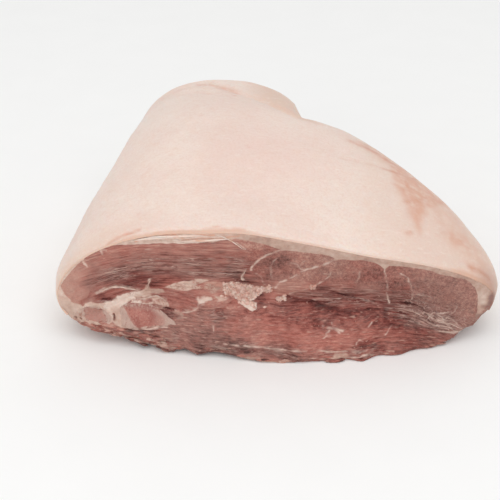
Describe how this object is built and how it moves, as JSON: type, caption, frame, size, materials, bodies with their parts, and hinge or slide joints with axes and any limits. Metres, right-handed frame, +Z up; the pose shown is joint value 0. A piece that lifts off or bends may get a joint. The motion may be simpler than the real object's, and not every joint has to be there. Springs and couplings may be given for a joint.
{
  "type": "raw pork joint",
  "caption": "Raw pork leg joint, bone in and rind on: a wide cut face of lean, fat and bone, tapering under smooth pale rind to a narrow cut end, flat underneath.",
  "frame": {"origin": "under the middle of the joint's bounding box, on the surface that the joint lies on", "axes": "+X along the wide cut face, from the backbone side to the belly side; +Y from the wide cut face to the narrow hock cut; +Z up, with the rind on top"},
  "size_m": [0.299, 0.215, 0.118],
  "materials": {
    "rind_and_meat": "pale pink raw rind with a soft damp sheen, over fat and moist raw red-brown lean",
    "bone": "freshly sawn bone, pale rim round a pink spongy middle, slightly damp"
  },
  "bodies": {
    "root": {"leg_meat": "rind_and_meat", "hip_bone": "bone", "tail_bone": "bone", "shank_bone": "bone"}
  },
  "joints": []
}
